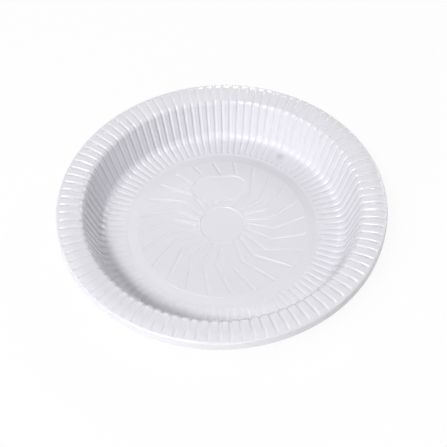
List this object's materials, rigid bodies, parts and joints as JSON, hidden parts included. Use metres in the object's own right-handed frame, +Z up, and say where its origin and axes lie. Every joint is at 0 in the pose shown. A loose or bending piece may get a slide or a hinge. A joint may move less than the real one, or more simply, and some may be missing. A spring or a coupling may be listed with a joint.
{
  "type": "plastic plate",
  "caption": "Round disposable plate formed from thin white plastic sheet, with a ribbed rim and well, a turned-down lip and a sunk swirl on its base.",
  "frame": {"origin": "centre of the ring the plate stands on, at table height, which is the bottom centre of its box", "axes": "+Z up through the middle of the plate; +Y away from the viewer of the picture; +X to the viewer's right"},
  "size_m": [0.22, 0.22, 0.033],
  "materials": {
    "plastic_sheet": "glossy"
  },
  "bodies": {
    "root": {"plate": "plastic_sheet"}
  },
  "joints": []
}
